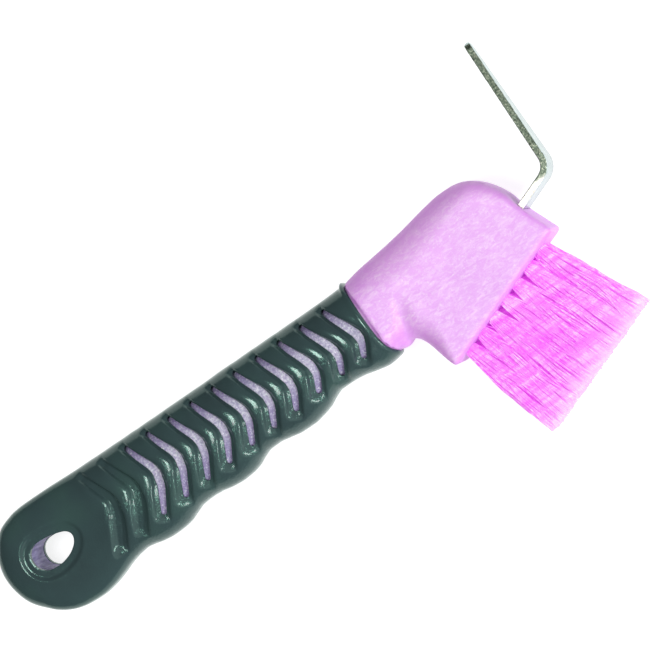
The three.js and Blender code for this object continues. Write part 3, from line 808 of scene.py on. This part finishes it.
def position(nt, co, axis, a, b):
    """0 to 1 as the object coordinate runs from a to b (metres)."""
    sep = nt.nodes.new("ShaderNodeSeparateXYZ")
    nt.links.new(co.outputs["Object"], sep.inputs[0])
    mr = nt.nodes.new("ShaderNodeMapRange")
    mr.interpolation_type = "SMOOTHSTEP"
    mr.inputs["From Min"].default_value = a
    mr.inputs["From Max"].default_value = b
    nt.links.new(sep.outputs[axis], mr.inputs["Value"])
    return mr.outputs["Result"]


def mat_core():
    m, nt, b, co = new_material("core_plastic")
    broad = noise(nt, co, 45, 3, 0.5)
    blot = noise(nt, co, 260, 5, 0.6)
    speck = noise(nt, co, 1700, 3, 0.65)
    scuff = noise(nt, co, 420, 6, 0.72, (1.0, 2.4, 1.0), 0.62, 0.9)
    base = ramp(nt, broad, [(0.3, (0.69, 0.28, 0.80)), (0.7, (0.77, 0.34, 0.86))])
    # painted highlight: the flat faces are mixed towards white and the rounded edges keep the deeper colour, standing
    # in for the whitish sheen the light puts on the flat faces
    flat = nt.nodes.new("ShaderNodeSeparateXYZ")
    nt.links.new(co.outputs["Normal"], flat.inputs[0])
    up = nt.nodes.new("ShaderNodeMapRange")
    up.interpolation_type = "SMOOTHSTEP"
    up.inputs["From Min"].default_value = 0.62
    up.inputs["From Max"].default_value = 0.99
    nt.links.new(math_node(nt, "ABSOLUTE", flat.outputs["Z"], 0.0), up.inputs["Value"])
    flatness = up.outputs["Result"]
    base = mix_color(nt, math_node(nt, "MULTIPLY", flatness, 0.17), base, (0.97, 0.78, 0.98))
    worn = math_node(nt, "MULTIPLY", ramp(nt, scuff, [(0.44, 0.0), (0.66, 1.0)]), math_node(nt, "ADD", math_node(nt, "MULTIPLY", flatness, 0.75), 0.25))
    col = mix_color(nt, math_node(nt, "MULTIPLY", worn, 0.46), base, (0.96, 0.80, 0.97))
    fine = ramp(nt, speck, [(0.57, 0.0), (0.68, 1.0)])
    col = mix_color(nt, math_node(nt, "MULTIPLY", math_node(nt, "MULTIPLY", fine, flatness), 0.32), col, (0.97, 0.88, 0.98))
    # under the grip the moulding is left frosted and looks cooler
    frost = ramp(nt, noise(nt, co, 1900, 4, 0.72), [(0.40, (0.24, 0.20, 0.38)), (0.54, (0.33, 0.29, 0.48)), (0.66, (0.66, 0.64, 0.74))])
    # painted highlight: the floor under the grip is lightened and whitened in a band across the knee, where the
    # section's crest faces the lights; the hole end is left out
    knee_highlight_band = math_node(nt, "MULTIPLY", position(nt, co, "Y", (OY + 0.8) / 1000, (OY - 4.2) / 1000),
                       position(nt, co, "Y", (OY - 11.0) / 1000, (OY - 7.0) / 1000))
    in_hole = position(nt, co, "X", (OX - 78.0) / 1000, (OX - 83.0) / 1000)
    knee_highlight_band = math_node(nt, "MULTIPLY", knee_highlight_band, math_node(nt, "SUBTRACT", 1.0, in_hole))
    frost = mix_color(nt, math_node(nt, "MULTIPLY", knee_highlight_band, 0.62), frost,
                      ramp(nt, noise(nt, co, 1500, 4, 0.7), [(0.42, (0.36, 0.34, 0.50)), (0.60, (0.84, 0.84, 0.90))]))
    # painted shade: inside the hole the wall gets darker, bluer colours with vertical streaks, for the shade in the
    # hole
    streak = noise(nt, co, 950, 3, 0.6, (1.0, 1.0, 0.12))
    frost = mix_color(nt, in_hole, frost, ramp(nt, streak, [(0.38, (0.13, 0.11, 0.27)), (0.52, (0.24, 0.21, 0.42)), (0.68, (0.46, 0.44, 0.62))]))
    inside_grip = position(nt, co, "X", (OX + 11.2) / 1000, (OX + 9.6) / 1000)
    col = mix_color(nt, inside_grip, col, frost)
    nt.links.new(col, b.inputs["Base Color"])
    rough = mix_color(nt, inside_grip, ramp(nt, blot, [(0.3, 0.34), (0.7, 0.52)]), ramp(nt, speck, [(0.35, 0.38), (0.7, 0.62)]))
    nt.links.new(rough, b.inputs["Roughness"])
    b.inputs["IOR"].default_value = 1.49
    b.inputs["Subsurface Weight"].default_value = 0.20
    b.inputs["Subsurface Radius"].default_value = (0.8, 0.35, 0.8)
    b.inputs["Subsurface Scale"].default_value = 0.0022
    bump(nt, b, [(broad, 0.08, 0.0010), (scuff, 0.42, 0.00018), (speck, 0.45, 0.00007)])
    return m


def mat_grip():
    m, nt, b, co = new_material("grip_rubber")
    broad = noise(nt, co, 60, 3, 0.5)
    mid = noise(nt, co, 330, 4, 0.6)
    fine = noise(nt, co, 1500, 3, 0.6)
    col = ramp(nt, broad, [(0.25, (0.035, 0.054, 0.059)), (0.5, (0.040, 0.066, 0.070)), (0.78, (0.045, 0.084, 0.077))])
    nt.links.new(col, b.inputs["Base Color"])
    rough = ramp(nt, mid, [(0.3, 0.13), (0.7, 0.20)])
    nt.links.new(rough, b.inputs["Roughness"])
    b.inputs["IOR"].default_value = 1.36
    b.inputs["Specular Tint"].default_value = (0.50, 1.0, 0.80, 1)
    b.inputs["Sheen Weight"].default_value = 0.05
    b.inputs["Sheen Roughness"].default_value = 0.3
    b.inputs["Sheen Tint"].default_value = (0.20, 0.85, 0.58, 1)
    b.inputs["Coat Weight"].default_value = 0.32
    b.inputs["Coat Roughness"].default_value = 0.07
    b.inputs["Coat IOR"].default_value = 1.45
    b.inputs["Coat Tint"].default_value = (0.80, 1.0, 0.93, 1)
    # the ribbed finger side kept the grain of the mould
    ribs = math_node(nt, "MULTIPLY", position(nt, co, "Y", (OY - 5.5) / 1000, (OY - 8.5) / 1000),
                     position(nt, co, "X", (OX - 78.0) / 1000, (OX - 72.0) / 1000))
    grain = math_node(nt, "MULTIPLY", fine, math_node(nt, "ADD", math_node(nt, "MULTIPLY", ribs, 0.75), 0.25))
    bump(nt, b, [(mid, 0.14, 0.00018), (grain, 0.85, 0.00016)])
    return m


def mat_steel(edge=False):
    m, nt, b, co = new_material("steel_edge" if edge else "pick_steel")
    b.inputs["Metallic"].default_value = 1.0
    if edge:
        a = noise(nt, co, 900, 5, 0.65)
        c = noise(nt, co, 2400, 4, 0.7)
        col = ramp(nt, c, [(0.36, (0.07, 0.10, 0.07)), (0.50, (0.19, 0.24, 0.18)), (0.60, (0.34, 0.38, 0.29)), (0.68, (0.80, 0.82, 0.66))])
        # painted highlight: the edge of the leg next to the head is given a bright, near-white colour for the glare on
        # it; the rest of the cut edge is torn and dull
        torn_edge_vs_glare = position(nt, co, "Y", (OY - 2.0) / 1000, (OY - 1.0) / 1000)
        col = mix_color(nt, torn_edge_vs_glare, ramp(nt, a, [(0.3, (0.74, 0.73, 0.62)), (0.7, (0.90, 0.90, 0.84))]), col)
        nt.links.new(ramp(nt, a, [(0.3, 0.36), (0.7, 0.60)]), b.inputs["Roughness"])
        bump(nt, b, [(math_node(nt, "MULTIPLY", a, torn_edge_vs_glare), 0.6, 0.00018), (math_node(nt, "MULTIPLY", c, torn_edge_vs_glare), 0.5, 0.00008)])
    else:
        a = noise(nt, co, 260, 4, 0.55)
        c = noise(nt, co, 700, 3, 0.6, (1.0, 1.0, 7.0))
        col = ramp(nt, a, [(0.3, (0.46, 0.57, 0.56)), (0.7, (0.60, 0.70, 0.68))])
        nt.links.new(ramp(nt, c, [(0.3, 0.20), (0.7, 0.34)]), b.inputs["Roughness"])
        bump(nt, b, [(c, 0.15, 0.00004)])
    nt.links.new(col, b.inputs["Base Color"])
    return m


def mat_bristle(tip=False):
    m, nt, b, co = new_material("bristle_tip" if tip else "bristle_nylon")
    rot = -math.atan2(OUT[1], OUT[0])                 # streaks run with the filaments
    a = noise(nt, co, 760, 4, 0.68, (0.07, 1.0, 1.0), rot)
    c = noise(nt, co, 150, 3, 0.5)
    if tip:
        # painted highlight: the flat cut ends get a paler pink, for the light their cut faces scatter
        col = ramp(nt, a, [(0.3, (0.86, 0.52, 0.88)), (0.7, (0.92, 0.70, 0.93))])
    else:
        col = ramp(nt, a, [(0.34, (0.90, 0.18, 0.92)), (0.50, (0.96, 0.36, 0.97)), (0.64, (0.99, 0.72, 0.99))])
        # painted highlight: the last millimetres towards the cut are lightened to a pale pink, for the light the
        # translucent tips scatter
        mp = nt.nodes.new("ShaderNodeMapping")
        mp.inputs["Rotation"].default_value = (0, 0, rot)
        nt.links.new(co.outputs["Object"], mp.inputs["Vector"])
        sep = nt.nodes.new("ShaderNodeSeparateXYZ")
        nt.links.new(mp.outputs["Vector"], sep.inputs[0])
        end = float((FACE_A + SHIFT[:2]) @ OUT + 28.0) / 1000
        mr = nt.nodes.new("ShaderNodeMapRange")
        mr.interpolation_type = "SMOOTHSTEP"
        mr.inputs["From Min"].default_value = end - 0.0085
        mr.inputs["From Max"].default_value = end - 0.0004
        nt.links.new(sep.outputs["X"], mr.inputs["Value"])
        col = mix_color(nt, math_node(nt, "MULTIPLY", mr.outputs["Result"], 0.62), col, (0.95, 0.66, 0.96))
    nt.links.new(col, b.inputs["Base Color"])
    nt.links.new(ramp(nt, c, [(0.3, 0.18), (0.7, 0.34)]), b.inputs["Roughness"])
    b.inputs["IOR"].default_value = 1.53
    # painted light: the filaments glow magenta and the cut ends pale pink, to lift the shade between them
    b.inputs["Emission Color"].default_value = (1.0, 0.40, 1.0, 1) if tip else (1.0, 0.16, 1.0, 1)
    b.inputs["Emission Strength"].default_value = 0.10 if tip else 0.15
    b.inputs["Subsurface Weight"].default_value = 0.35
    b.inputs["Subsurface Radius"].default_value = (1.0, 0.3, 1.0)
    b.inputs["Subsurface Scale"].default_value = 0.0012
    bump(nt, b, [(a, 0.2, 0.00003)])
    return m


def mat_anchor():
    m, nt, b, co = new_material("anchor_steel")
    b.inputs["Metallic"].default_value = 1.0
    a = noise(nt, co, 1800, 4, 0.6)
    nt.links.new(ramp(nt, a, [(0.3, (0.42, 0.42, 0.40)), (0.7, (0.66, 0.66, 0.64))]), b.inputs["Base Color"])
    nt.links.new(ramp(nt, a, [(0.3, 0.25), (0.7, 0.45)]), b.inputs["Roughness"])
    bump(nt, b, [(a, 0.2, 0.00003)])
    return m


def mat_floor():
    m, nt, b, co = new_material("floor_paper")
    a = noise(nt, co, 35, 3, 0.5)
    nt.links.new(ramp(nt, a, [(0.3, (0.36, 0.36, 0.36)), (0.7, (0.38, 0.38, 0.38))]), b.inputs["Base Color"])
    b.inputs["Roughness"].default_value = 0.9
    b.inputs["Specular IOR Level"].default_value = 0.1
    b.inputs["Emission Color"].default_value = (1.0, 1.0, 1.0, 1)
    b.inputs["Emission Strength"].default_value = 0.82
    return m


# ------------------------------------------------------------------ camera
ANG = math.radians(35.2)


def aligned_to_row(e1, e2, z):
    """Points given across and up the picture, from the object's middle plane."""
    c, s = math.cos(ANG), math.sin(ANG)
    return to_row((c * e1 + s * e2, -s * e1 + c * e2, z))


from mathutils import Matrix, Vector

cam_pos, target = Vector(aligned_to_row(136.0, 41.0, 600.0)), Vector(aligned_to_row(0.0, 0.0, 0.0))
fwd = (target - cam_pos).normalized()
up_row = (Vector(aligned_to_row(0.0, 1.0, 0.0)) - target).normalized()
right = fwd.cross(up_row).normalized()
up = right.cross(fwd)
cam_data = bpy.data.cameras.new("camera")
cam_data.sensor_width = 36.0
cam_data.lens = 36.0 * 4.0 * math.sqrt(136.0**2 + 41.0**2 + 600.0**2) / 650.0
cam_data.clip_start = 0.02
cam_data.clip_end = 20.0
cam = bpy.data.objects.new("camera", cam_data)
cam.matrix_world = Matrix((
    (right.x, up.x, -fwd.x, cam_pos.x), (right.y, up.y, -fwd.y, cam_pos.y), (right.z, up.z, -fwd.z, cam_pos.z), (0, 0, 0, 1)))
bpy.context.scene.collection.objects.link(cam)
bpy.context.scene.camera = cam

# ------------------------------------------------------------------ build
mats = {"core": mat_core(), "grip": mat_grip(), "steel": mat_steel(), "edge": mat_steel(True),
        "bristle": mat_bristle(), "tip": mat_bristle(True), "anchor": mat_anchor(), "floor": mat_floor()}

grip = build_grip()
grip.data.materials.clear()
grip.data.materials.append(mats["grip"])
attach(grip, "root")
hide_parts("grip_overmould")

core = build_core()
core.data.materials.clear()
core.data.materials.append(mats["core"])
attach(core, "root")
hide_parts("handle_core")

pick = strip_mesh("pick_strip")
pick.data.materials.append(mats["steel"])
pick.data.materials.append(mats["edge"])
for poly in pick.data.polygons:
    if abs(poly.normal.z) > 0.6:
        poly.material_index = 1
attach(pick, "root")
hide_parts("pick_blade")

for i in range(7):
    for j in range(3):
        o = build_tuft(i, j)
        o.data.materials.append(mats["bristle"])
        o.data.materials.append(mats["tip"])
        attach(o, "root")
        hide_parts("tuft_%d_%s" % (i + 1, "abc"[j]))
        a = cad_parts["tuft_anchor_%d_%s" % (i + 1, "abc"[j])]
        for sl in a.material_slots:
            sl.material = mats["anchor"]

# ------------------------------------------------------------------ floor and light
fv = [(-1.6, -1.6, -0.0004), (1.6, -1.6, -0.0004), (1.6, 1.6, -0.0004), (-1.6, 1.6, -0.0004)]
fm = bpy.data.meshes.new("floor")
fm.from_pydata(fv, [], [(0, 1, 2, 3)])
floor = bpy.data.objects.new("floor", fm)
floor.data.materials.append(mats["floor"])
bpy.context.scene.collection.objects.link(floor)


def area(name, e1, e2, z, size, power, color=(1, 1, 1)):
    d = bpy.data.lights.new(name, "AREA")
    d.size = size
    d.energy = power
    d.color = color
    o = bpy.data.objects.new(name, d)
    p = Vector(aligned_to_row(e1, e2, z))
    o.location = p
    o.rotation_euler = (target - p).to_track_quat("-Z", "Y").to_euler()
    bpy.context.scene.collection.objects.link(o)


area("spot_box", -146, -54, 740, 0.17, 2.3)
area("soft_box", 1010, 0, 800, 2.4, 17.2)
area("strip", 820, -140, 640, 0.24, 4.9)

world = bpy.data.worlds.new("studio")
world.use_nodes = True
world.node_tree.nodes["Background"].inputs[0].default_value = (1, 1, 1, 1)
world.node_tree.nodes["Background"].inputs[1].default_value = 0.08
bpy.context.scene.world = world
bpy.context.scene.view_settings.view_transform = "Standard"
bpy.context.scene.view_settings.look = "None"
